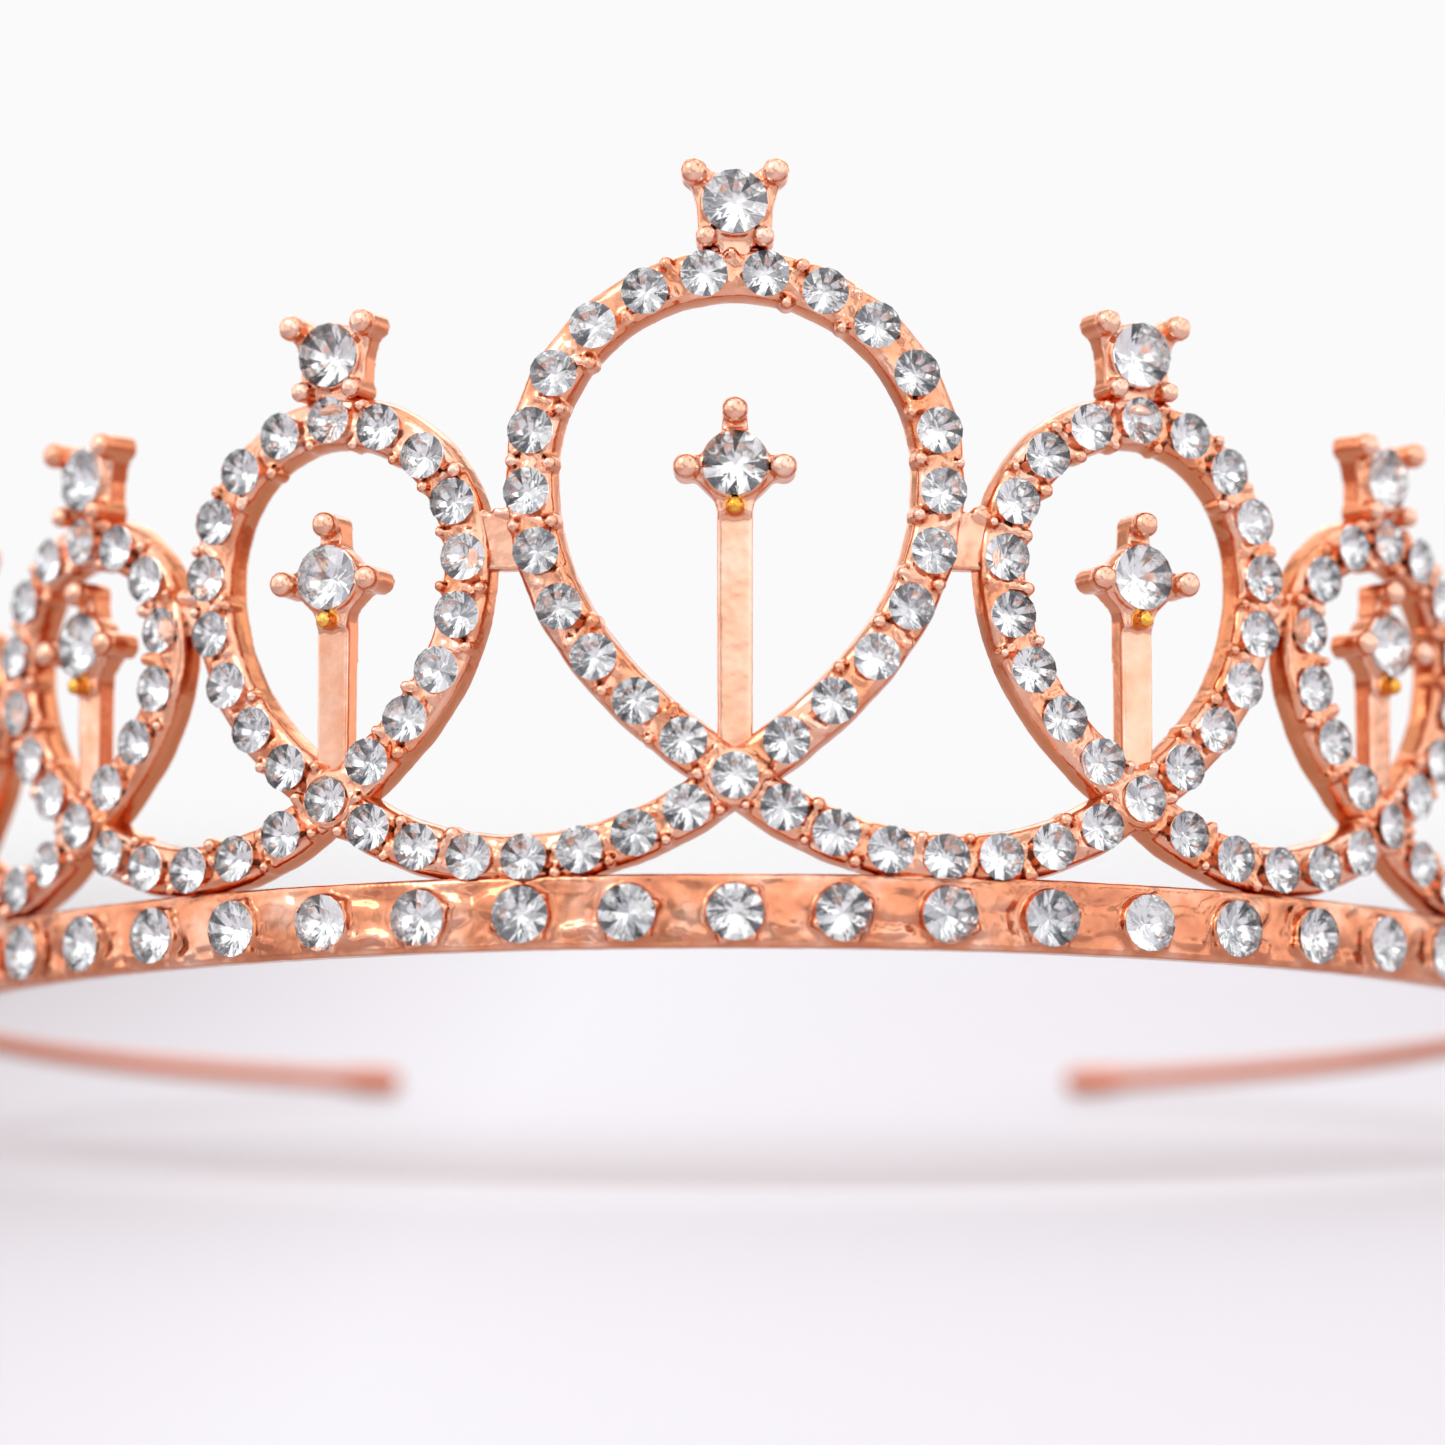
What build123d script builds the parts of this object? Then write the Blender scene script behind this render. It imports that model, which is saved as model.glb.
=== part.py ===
from build123d import *
import math
import os

# A bridal tiara: a stone-set band bent to a circle, seven cast loops of stone-set strand
# soldered on it with hanging swags between them, an ornament on a post inside each loop,
# a finial on top of each loop, and a thin wire arm from each end of the band.
#
# Frame: millimetres, +Z up, front of the tiara at -Y, wearer's right at -X.
# Origin: centre of the band's circle, on the plane that the band's lower edge rests on.
# "Arc" is the distance along the crest cylinder from the middle of the front.

# Crest cylinder and strand
CREST_R = 65.0
STRAND_DEPTH = 2.6
RAIL_WIDTH = 3.0
ROOM = 200.0
CUP_RADIUS_FRONT = 1.86
CUP_RADIUS_BACK = 1.6
CUP_PROUD = 0.3
CLAW_RADIUS = 0.4
CLAW_OFFSET = 1.4
CLAW_PROUD = 0.75
CLAW_DEPTH = 1.2

# Stones: diameter at the girdle, then heights as a share of the diameter
SMALL_STONE = 3.45
BAND_STONE = 4.15
BIG_STONE = 4.8
GIRDLE_SHARE = 0.04
CROWN_SHARE = 0.16
PAVILION_SHARE = 0.40
TABLE_SHARE = 0.55
SEAT_CLEARANCE = 0.01

# Loops from the centre outwards: arc of the centre line, height of the crossing,
# half width, height of the top, steps between stones round the loop
LOOPS = (
    (0.0, 12.3, 15.0, 48.9, 23),
    (30.6, 11.5, 10.75, 39.3, 18),
    (55.0, 11.4, 9.05, 32.8, 14),
    (76.0, 11.3, 7.6, 27.2, 12),
)
LOOP_LEG_ANGLE = 33.0
LOOP_LOW_POINT = (0.69, 0.245)
LOOP_WIDE_HEIGHT = 0.61

# Swags between neighbouring crossings: lowest height of the centre line, steps
SWAGS = ((6.6, 8), (7.1, 6), (7.2, 5))
SWAG_END_ANGLE = 38.0

# Scroll that ends the strand beyond the outermost loop
SCROLL_END_ARC = 87.5
SCROLL_END_HEIGHT = 7.3
SCROLL_STEPS = 3

# Inner ornament heights (stone centre) and finial heights (stone centre), per loop
INNER_HEIGHTS = (34.9, 27.7, 25.0, 20.6)
FINIAL_HEIGHTS = (54.0, 44.1, 37.5, 31.8)
HEAD_FRONT = 0.3
HEAD_DEPTH = 2.3
HEAD_CUP_RADIUS = 2.75
HEAD_ARM_WIDTH = 1.5
HEAD_ARM_FRONT = -0.35
ROD_RADIUS = 0.8
ROD_PROUD = 1.15
SMALL_ROD_RADIUS = 0.6
INNER_RODS = ((0.0, 3.85, 0.8), (-3.5, -0.3, 0.8), (3.5, -0.3, 0.8), (0.0, -3.3, 0.58))
FINIAL_RODS = ((-2.95, 2.2, 0.8), (2.95, 2.2, 0.8), (-2.1, -2.6, 0.68), (2.1, -2.6, 0.68))
FINIAL_WAIST = 1.9
FINIAL_NECK_WIDTH = 1.5
POST_WIDTH = 2.55
POST_DEPTH = 1.6
POST_SETBACK = 0.6

# Web plates between neighbouring loops: lower and upper height
BRIDGES = ((27.6, 32.2), (24.6, 28.0), (19.8, 22.6))
BRIDGE_WIDTH = 4.0
BRIDGE_DEPTH = 1.3
BRIDGE_SETBACK = 0.7

# Band
BAND_R_OUT = 65.2
BAND_R_IN = 63.5
BAND_HEIGHT = 5.3
BAND_END_ANGLE = 80.0
LIP_PROUD = 0.5
LIP_HEIGHT = 0.9
BAND_STONE_HEIGHT = 2.4
BAND_STONE_STEP = 6.7
BAND_STONES_A_SIDE = 11
BAND_CUP_RADIUS = 2.28
BAND_CUP_PROUD = 0.95

# Wire arms
ARM_R = 64.35
ARM_HEIGHT = 1.2
ARM_RADIUS = 0.85
ARM_TIP_RADIUS = 1.2
ARM_TIP_LENGTH = 5.0
ARM_END_ANGLE = 153.0
HINGE_RADIUS = 1.2
HINGE_CLEARANCE = 0.05


def frame_at(arc, height, radius=CREST_R):
    """Plane on the crest cylinder: x to the right, y up, z outwards."""
    angle = arc / CREST_R
    out = (math.sin(angle), -math.cos(angle), 0)
    right = (math.cos(angle), math.sin(angle), 0)
    origin = (radius * out[0], radius * out[1], height)
    return Plane(origin=origin, x_dir=right, z_dir=out)


def ring_sector(r_in, r_out, low, high, start, end):
    """Part of a ring between two angles, counted from the front."""
    middle = Pos((r_in + r_out) / 2, (low + high) / 2)
    section = Plane.XZ * middle * Rectangle(r_out - r_in, high - low)
    return Rot(0, 0, start - 90) * revolve(section, Axis.Z, revolution_arc=end - start)


def stone_solid(diameter, grow=0.0):
    """Round stone with a table, crown, girdle and pointed pavilion, girdle at z = 0."""
    radius = diameter / 2 + grow
    top = diameter * (GIRDLE_SHARE + CROWN_SHARE) + grow
    outline = Polyline(
        (0, -diameter * PAVILION_SHARE - grow),
        (radius, -grow),
        (radius, diameter * GIRDLE_SHARE + grow),
        (diameter * TABLE_SHARE / 2 + grow, top),
        (0, top),
        close=True,
    )
    return revolve(Plane.XZ * make_face(outline), Axis.Z)


def cone_between(low_radius, high_radius, low, high):
    """Upright cone or cylinder from one z to another."""
    middle = Pos(0, 0, (low + high) / 2)
    if low_radius == high_radius:
        return middle * Cylinder(low_radius, high - low)
    return middle * Cone(low_radius, high_radius, high - low)


def round_rod(radius, low, high):
    """Upright rod with a ball tip at its upper end."""
    outline = Polyline((0, low), (radius, low), (radius, high - radius))
    tip = RadiusArc((radius, high - radius), (0, high), -radius)
    edge = Line((0, high), (0, low))
    return revolve(Plane.XZ * make_face(outline + tip + edge), Axis.Z)


def loop_leg(half_width, height):
    """Centre line of a loop's right side: a swelling curve, then a quarter of an ellipse."""
    slope = math.radians(LOOP_LEG_ANGLE)
    widest = LOOP_WIDE_HEIGHT * height
    low = (LOOP_LOW_POINT[0] * half_width, LOOP_LOW_POINT[1] * height)
    rise = Spline((0, 0), low, (half_width, widest), tangents=((math.cos(slope), math.sin(slope)), (0, 1)))
    crown = EllipticalCenterArc((0, widest), half_width, height - widest, start_angle=0, arc_size=90)
    return (rise + crown).wire()


def swag_line(half_span, drop_left, drop_right):
    """Centre line of a swag, its lowest point at the origin."""
    slope = math.radians(SWAG_END_ANGLE)
    points = ((-half_span, drop_left), (0, 0), (half_span, drop_right))
    ends = ((math.cos(slope), -math.sin(slope)), (math.cos(slope), math.sin(slope)))
    return Spline(*points, tangents=ends)


def along(path, distance):
    """Point and direction at a distance along a flat path."""
    point = path.position_at(distance, position_mode=PositionMode.LENGTH)
    heading = path.tangent_at(distance, position_mode=PositionMode.LENGTH)
    return point, heading


def stone_places(path, pitch, numbers):
    """Flat places of stones at whole numbers of steps along a path."""
    return [(p.X, p.Y) for p in (along(path, min(n * pitch, path.length))[0] for n in numbers)]


def claw_places(path, pitch, numbers):
    """Flat places of the two claws halfway between neighbouring stones."""
    places = []
    for number in numbers:
        point, heading = along(path, min((number + 0.5) * pitch, path.length))
        for side in (-CLAW_OFFSET, CLAW_OFFSET):
            places.append((point.X - heading.Y * side, point.Y + heading.X * side))
    return places


def on_crest(arc, base, flat, radius=CREST_R):
    """Plane on the crest cylinder for a place in a part's own flat layout."""
    turned = CREST_R * math.asin(flat[0] / CREST_R)
    return frame_at(arc + turned, base + flat[1], radius)


def link(arc, base, start, end):
    """Straight bar of strand between two neighbouring stones."""
    first = on_crest(arc, base, start).origin
    last = on_crest(arc, base, end).origin
    middle = (first + last) / 2
    heading = (last - first).normalized()
    out = Vector(middle.X, middle.Y, 0).normalized()
    out = (out - heading * out.dot(heading)).normalized()
    place = Plane(origin=middle, x_dir=heading, z_dir=out).location
    return place * Pos(0, 0, -STRAND_DEPTH / 2) * Box((last - first).length, RAIL_WIDTH, STRAND_DEPTH)


def strand_body(arc, base, links, stones, claws):
    """Bars, cups and claws of one piece of strand, bent to the crest cylinder."""
    cup = cone_between(CUP_RADIUS_BACK, CUP_RADIUS_FRONT, -STRAND_DEPTH, CUP_PROUD)
    claw = round_rod(CLAW_RADIUS, -CLAW_DEPTH, CLAW_PROUD)
    pieces = list(links)
    pieces += [on_crest(arc, base, place).location * cup for place in stones]
    pieces += [on_crest(arc, base, place).location * claw for place in claws]
    return pieces[0] + pieces[1:]


def links_between(arc, base, places):
    """Bars that join a row of places."""
    return [link(arc, base, a, b) for a, b in zip(places, places[1:])]


def set_stones(arc, base, places, diameter, proud, grow=0.0):
    """Stones with their girdles proud of the crest cylinder by the given amount."""
    stone = stone_solid(diameter, grow)
    return [on_crest(arc, base, place, CREST_R + proud).location * stone for place in places]


def above(height):
    """All the space over a height."""
    return Pos(0, 0, height + ROOM / 2) * Box(ROOM, ROOM, ROOM)


def make_loop(index):
    """One closed loop of strand, and its stones."""
    arc, base, half_width, top, steps = LOOPS[index]
    leg = loop_leg(half_width, top - base)
    pitch = 2 * leg.length / steps
    right = stone_places(leg, pitch, range(steps // 2 + 1))
    left = [(-x, y) for x, y in right[1:] if x > CLAW_RADIUS]
    ring = right + left[::-1] + [right[0]]
    claws = claw_places(leg, pitch, range((steps + 1) // 2))
    claws += [(-x, y) for x, y in claws if x > CLAW_RADIUS]
    claws = [(x, y) for x, y in claws if y > CLAW_RADIUS]
    links = links_between(arc, base, ring)
    links[0] = links[0] & above(base)
    links[-1] = links[-1] & above(base)
    body = strand_body(arc, base, links, ring[:-1], claws)
    seats = set_stones(arc, base, ring[:-1], SMALL_STONE, CUP_PROUD, SEAT_CLEARANCE)
    return body - seats, set_stones(arc, base, ring[:-1], SMALL_STONE, CUP_PROUD)


def crossing_room(arc, height):
    """The space at a crossing that belongs to its loop: the cup, and all that lies higher."""
    hole = frame_at(arc, height).location * Cylinder(CUP_RADIUS_FRONT + SEAT_CLEARANCE, 4 * STRAND_DEPTH)
    return hole + above(height)


def hanging_strand(arc, base, places, claws, crossings):
    """Strand that hangs from one or two crossings, and its stones between them."""
    links = links_between(arc, base, places)
    links[0] = links[0] - crossing_room(*crossings[0]) - beyond(crossings[0][0], -1)
    stones = places[1:]
    if len(crossings) > 1:
        links[-1] = links[-1] - crossing_room(*crossings[1]) - beyond(crossings[1][0], 1)
        stones = places[1:-1]
    body = strand_body(arc, base, links, stones, claws)
    seats = set_stones(arc, base, stones, SMALL_STONE, CUP_PROUD, SEAT_CLEARANCE)
    return body - seats, set_stones(arc, base, stones, SMALL_STONE, CUP_PROUD)


def beyond(arc, side):
    """All the space on one side of a crossing's own radial plane."""
    return frame_at(arc, 0).location * Pos(side * ROOM / 2, 0, 0) * Box(ROOM, ROOM, CREST_R)


def make_swag(index):
    """The strand that hangs between one loop's crossing and the next, and its stones."""
    low, steps = SWAGS[index]
    arc_left, height_left = LOOPS[index][:2]
    arc_right, height_right = LOOPS[index + 1][:2]
    arc = (arc_left + arc_right) / 2
    span = CREST_R * math.sin((arc_right - arc_left) / 2 / CREST_R)
    line = swag_line(span, height_left - low, height_right - low)
    places = stone_places(line, line.length / steps, range(steps + 1))
    claws = claw_places(line, line.length / steps, range(steps))
    left = [(x, y) for x, y in claws if x < 0 and y < height_left - low - CLAW_RADIUS]
    right = [(x, y) for x, y in claws if x > 0 and y < height_right - low - CLAW_RADIUS]
    crossings = ((arc_left, height_left), (arc_right, height_right))
    return hanging_strand(arc, low, places, left + right, crossings)


def make_scroll():
    """The last piece of strand, from the outermost crossing down to the band, and its stones."""
    arc_left, height_left = LOOPS[-1][:2]
    arc = (arc_left + SCROLL_END_ARC) / 2
    half = (SCROLL_END_ARC - arc_left) / 2
    slope = math.radians(SWAG_END_ANGLE)
    ends = ((math.cos(slope), -math.sin(slope)), (1, 0))
    line = Spline((-half, height_left), (half, SCROLL_END_HEIGHT), tangents=ends)
    pitch = line.length / SCROLL_STEPS
    places = stone_places(line, pitch, range(SCROLL_STEPS + 1))
    claws = claw_places(line, pitch, range(SCROLL_STEPS))
    claws = [(x, y) for x, y in claws if y < height_left - CLAW_RADIUS]
    return hanging_strand(arc, 0, places, claws, ((arc_left, height_left),))


def head_body(rods, outline):
    """Cup, arms and ball-tipped rods of a big stone's setting, front along +z."""
    back = HEAD_FRONT - HEAD_DEPTH
    cup = cone_between(HEAD_CUP_RADIUS - 0.3, HEAD_CUP_RADIUS, back, HEAD_FRONT)
    thickness = HEAD_ARM_FRONT - back
    pieces = [Pos(0, 0, back) * extrude(outline, amount=thickness)]
    for x, y, radius in rods:
        pieces.append(Pos(x, y, 0) * round_rod(radius, back, ROD_PROUD))
        reach = math.hypot(x, y)
        bar = Pos(reach / 2, 0, back + thickness / 2) * Box(reach, HEAD_ARM_WIDTH, thickness)
        pieces.append(Rot(0, 0, math.degrees(math.atan2(y, x))) * bar)
    return cup + pieces


def make_finial(index, loop, stones):
    """Four-clawed setting that stands on top of a loop."""
    arc = LOOPS[index][0]
    height = FINIAL_HEIGHTS[index]
    neck_low = LOOPS[index][3] - height
    neck = Pos(0, neck_low / 2) * Rectangle(FINIAL_NECK_WIDTH, -neck_low)
    plate = neck + Pos(0, -0.8) * Rectangle(2 * FINIAL_WAIST, 4.2)
    body = frame_at(arc, height).location * head_body(FINIAL_RODS, plate)
    seat = frame_at(arc, height, CREST_R + HEAD_FRONT).location * stone_solid(BIG_STONE, SEAT_CLEARANCE)
    return largest(body - seat - loop - stones)


def make_post(index, loop):
    """Ornament inside a loop: a setting with four rods on a flat post from the crossing."""
    arc, base = LOOPS[index][:2]
    height = INNER_HEIGHTS[index]
    plate = Circle(HEAD_CUP_RADIUS)
    body = frame_at(arc, height).location * head_body(INNER_RODS, plate)
    length = height - base
    middle = Pos(0, -length / 2, -POST_SETBACK - POST_DEPTH / 2)
    post = frame_at(arc, height).location * middle * Box(POST_WIDTH, length, POST_DEPTH)
    seat = frame_at(arc, height, CREST_R + HEAD_FRONT).location * stone_solid(BIG_STONE, SEAT_CLEARANCE)
    return largest(body + post - seat - loop)


def largest(shape):
    """The biggest solid of a shape, without offcuts."""
    return max(shape.solids(), key=lambda s: s.volume)


def make_bridge(index, left_loop, right_loop):
    """Web plate soldered between two neighbouring loops."""
    low, high = BRIDGES[index]
    left = LOOPS[index][0] + LOOPS[index][2]
    right = LOOPS[index + 1][0] - LOOPS[index + 1][2]
    arc = (left + right) / 2
    outer = CREST_R - BRIDGE_SETBACK
    half = math.degrees(BRIDGE_WIDTH / 2 / CREST_R)
    middle = math.degrees(arc / CREST_R)
    plate = ring_sector(outer - BRIDGE_DEPTH, outer, low, high, middle - half, middle + half)
    return largest(plate - left_loop - right_loop)


def band_stone_set(grow=0.0):
    """Stones along the band."""
    stone = stone_solid(BAND_STONE, grow)
    numbers = range(-BAND_STONES_A_SIDE, BAND_STONES_A_SIDE + 1)
    arcs = [math.radians(BAND_STONE_STEP * n) * CREST_R for n in numbers]
    radius = BAND_R_OUT + BAND_CUP_PROUD
    return [frame_at(arc, BAND_STONE_HEIGHT, radius).location * stone for arc in arcs]


def hinge_place():
    """Centre of the right arm's root, at the end of the band."""
    angle = math.radians(BAND_END_ANGLE)
    return ARM_R * math.sin(angle), -ARM_R * math.cos(angle)


def make_band(notches):
    """Flat band with a lower lip, a cup for each stone, and a hollow for each arm's root."""
    end = BAND_END_ANGLE
    strip = ring_sector(BAND_R_IN, BAND_R_OUT, 0, BAND_HEIGHT, -end, end)
    lip = ring_sector(BAND_R_IN, BAND_R_OUT + LIP_PROUD, 0, LIP_HEIGHT, -end, end)
    cup = cone_between(BAND_CUP_RADIUS, BAND_CUP_RADIUS, -1, BAND_CUP_PROUD)
    numbers = range(-BAND_STONES_A_SIDE, BAND_STONES_A_SIDE + 1)
    arcs = [math.radians(BAND_STONE_STEP * n) * CREST_R for n in numbers]
    cups = [frame_at(arc, BAND_STONE_HEIGHT, BAND_R_OUT).location * cup for arc in arcs]
    x, y = hinge_place()
    hollow = Cylinder(HINGE_RADIUS + HINGE_CLEARANCE, 4 * BAND_HEIGHT)
    hollows = [Pos(side * x, y) * hollow for side in (-1, 1)]
    return largest(strip + lip + cups - band_stone_set(SEAT_CLEARANCE) - hollows - notches)


def make_arm():
    """Right wire arm: round root, thin curved wire and a thicker tip."""
    x, y = hinge_place()
    root = Pos(x, y, BAND_HEIGHT / 2) * Cylinder(HINGE_RADIUS, BAND_HEIGHT)
    sweep = ARM_END_ANGLE - BAND_END_ANGLE
    wire_section = Plane.XZ * Pos(ARM_R, ARM_HEIGHT) * Circle(ARM_RADIUS)
    wire = Rot(0, 0, BAND_END_ANGLE - 90) * revolve(wire_section, Axis.Z, revolution_arc=sweep)
    tip_sweep = math.degrees(ARM_TIP_LENGTH / ARM_R)
    tip_section = Plane.XZ * Pos(ARM_R, ARM_HEIGHT) * Circle(ARM_TIP_RADIUS)
    tip = Rot(0, 0, ARM_END_ANGLE - tip_sweep - 90) * revolve(tip_section, Axis.Z, revolution_arc=tip_sweep)
    balls = []
    for angle in (ARM_END_ANGLE - tip_sweep, ARM_END_ANGLE):
        turn = math.radians(angle)
        centre = Pos(ARM_R * math.sin(turn), -ARM_R * math.cos(turn), ARM_HEIGHT)
        balls.append(centre * Sphere(ARM_TIP_RADIUS))
    return root + wire + [tip] + balls


def other_side(shape):
    """The left-hand twin of a right-hand piece."""
    return mirror(shape, about=Plane.YZ)


def write(name, shapes):
    """One node's STEP file."""
    solids = [solid for shape in shapes for solid in shape.solids()]
    export_step(Compound(children=solids) if len(solids) > 1 else solids[0], f"parts/{name}.step")


def write_pair(name, shapes):
    """A right-hand node and its left-hand twin."""
    write(name.format("right"), shapes)
    write(name.format("left"), [other_side(shape) for shape in shapes])


def big_stones(heights):
    """Big stones at the given heights, for all loops of both sides."""
    stone = stone_solid(BIG_STONE)
    stones = []
    for (arc, *_), height in zip(LOOPS, heights):
        for side in (1, -1) if arc else (1,):
            stones.append(frame_at(side * arc, height, CREST_R + HEAD_FRONT).location * stone)
    return stones


os.makedirs("parts", exist_ok=True)

loops, loop_stones = zip(*[make_loop(index) for index in range(len(LOOPS))])
write("loop_centre", [loops[0]])
write("loop_centre_stones", loop_stones[0])
write("post_centre", [make_post(0, loops[0])])
write("finial_centre", [make_finial(0, loops[0], loop_stones[0])])
for index in range(1, len(LOOPS)):
    write_pair(f"loop_{{}}_{index}", [loops[index]])
    write_pair(f"loop_{{}}_{index}_stones", loop_stones[index])
    write_pair(f"post_{{}}_{index}", [make_post(index, loops[index])])
    write_pair(f"finial_{{}}_{index}", [make_finial(index, loops[index], loop_stones[index])])

notches = []
swag_stones = []
for index in range(len(SWAGS)):
    swag, stones = make_swag(index)
    notches += [swag] + stones
    swag_stones += stones
    write_pair(f"swag_{{}}_{index + 1}", [swag])
    write_pair(f"bridge_{{}}_{index + 1}", [make_bridge(index, loops[index], loops[index + 1])])

scroll, stones = make_scroll()
notches += [scroll] + stones
swag_stones += stones
write_pair("end_scroll_{}", [scroll])
write_pair("swag_{}_stones", swag_stones)

notches += [other_side(shape) for shape in notches]
write("front_band", [make_band(notches)])
write("band_stones", band_stone_set())
write("inner_stones", big_stones(INNER_HEIGHTS))
write("finial_stones", big_stones(FINIAL_HEIGHTS))
write_pair("arm_{}", [make_arm()])
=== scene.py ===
import math
import random

import bmesh
import bpy
import numpy as np
from mathutils import Matrix, Vector


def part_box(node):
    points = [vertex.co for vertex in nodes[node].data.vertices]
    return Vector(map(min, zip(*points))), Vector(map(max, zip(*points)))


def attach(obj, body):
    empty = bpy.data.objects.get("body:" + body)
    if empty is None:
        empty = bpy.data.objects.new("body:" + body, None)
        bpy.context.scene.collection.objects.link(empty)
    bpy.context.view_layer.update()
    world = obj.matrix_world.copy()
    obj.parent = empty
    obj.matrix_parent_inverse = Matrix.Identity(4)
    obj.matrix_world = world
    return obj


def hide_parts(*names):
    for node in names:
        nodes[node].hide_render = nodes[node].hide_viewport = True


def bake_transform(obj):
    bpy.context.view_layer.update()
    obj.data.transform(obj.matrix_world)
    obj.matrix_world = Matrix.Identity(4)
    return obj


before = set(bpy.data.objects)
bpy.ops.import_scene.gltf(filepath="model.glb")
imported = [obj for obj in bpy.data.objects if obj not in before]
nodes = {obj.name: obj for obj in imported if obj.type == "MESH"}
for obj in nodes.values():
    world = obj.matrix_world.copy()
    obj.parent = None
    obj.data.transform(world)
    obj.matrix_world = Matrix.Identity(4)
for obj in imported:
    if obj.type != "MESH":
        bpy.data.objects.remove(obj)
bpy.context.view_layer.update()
random.seed(7)

# Lengths are in mm unless they are multiplied by MM, which makes them Blender's metres.
MM = 0.001
CREST_R = 65.0
VOXEL = 0.17
PLAIN_VOXEL = max(VOXEL, 0.2)

# Strand of the loops and swags
STRAND_DEPTH = 2.6
STEPS = 6
HALF_AT_STONE = 1.80
FLARE = 0.3
WAIST = 0.06
FRONT_AT_STONE = 0.06
DIP = 0.22

# Stones: share of the diameter behind the girdle, and spread of their tilt in degrees
STONE_PAVILION = 0.40
STONE_TILT = 3.0
SEAT_GAP = 0.03

# Band and arms
BAND_OUT, BAND_H = 65.2, 5.3
BAND_END = 80.0
BAND_STEPS = 240
BAND_BLOBS = 180
ARM_R, ARM_Z = 64.35, 1.2
ARM_START, ARM_END = 79.2, 153.0
ARM_STEPS = 110
ARM_RADIUS = 0.85
ARM_TIP_EXTRA = 0.33
ARM_TIP_LENGTH = 5.2
ARM_TIP_ROUNDING = 1.15
ARM_ROOT_SPAN = 3.0
ARM_ROOT_RISE = 1.1
ARM_ROOT_GROWTH = 1.1


# ---------------------------------------------------------------- places read from the frame

def node_points(name):
    """A CAD node's vertices in mm, without doubles, and its triangles."""
    mesh = nodes[name].data
    raw = np.empty(len(mesh.vertices) * 3)
    mesh.vertices.foreach_get("co", raw)
    raw = raw.reshape(-1, 3) / MM
    keys, index = np.unique(np.round(raw, 3), axis=0, return_inverse=True)
    faces = [[int(index[v]) for v in p.vertices] for p in mesh.polygons]
    return keys, faces


def loose_parts(name):
    """Point sets of a node's separate solids."""
    points, faces = node_points(name)
    parent = list(range(len(points)))

    def root(i):
        while parent[i] != i:
            parent[i] = parent[parent[i]]
            i = parent[i]
        return i

    for face in faces:
        for v in face[1:]:
            parent[root(v)] = root(face[0])
    groups = {}
    for i in range(len(points)):
        groups.setdefault(root(i), []).append(i)
    return [points[ids] for ids in groups.values()]


class Spot:
    """A place on the crest with its own axes: t to the right, u up, n outwards (mm)."""

    def __init__(self, arc, z, r):
        a = arc / CREST_R
        self.arc, self.z, self.r = arc, z, r
        self.n = np.array((math.sin(a), -math.cos(a), 0.0))
        self.t = np.array((math.cos(a), math.sin(a), 0.0))
        self.u = np.array((0.0, 0.0, 1.0))
        self.o = self.n * r + self.u * z

    def at(self, x, y, h):
        return self.o + self.t * x + self.u * y + self.n * h


def stones_of(name):
    """Every stone of a node as a Spot on its girdle's plane, with its radius."""
    found = []
    for part in loose_parts(name):
        mid = (part.min(axis=0) + part.max(axis=0)) / 2
        arc = math.atan2(mid[0], -mid[1]) * CREST_R
        spot = Spot(arc, mid[2], 0.0)
        radius = (part[:, 2].max() - part[:, 2].min()) / 2
        side = part @ spot.t
        arc += (side.max() + side.min()) / 2
        depth = (part @ spot.n).min() + 2 * radius * STONE_PAVILION
        spot = Spot(arc, mid[2], depth)
        spot.radius = radius
        found.append(spot)
    return found


def chain(stones):
    """A closed loop's stones in order, from its lowest one round by the right."""
    left = sorted(stones, key=lambda s: s.z)
    order = [left.pop(0)]
    base = order[0]
    first = min((s for s in left if s.arc > base.arc),
                key=lambda s: math.hypot(s.arc - base.arc, s.z - base.z))
    order.append(first)
    left.remove(first)
    while left:
        here = order[-1]
        following = min(left, key=lambda s: math.hypot(s.arc - here.arc, s.z - here.z))
        order.append(following)
        left.remove(following)
    return order


# ---------------------------------------------------------------- mesh building

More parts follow.
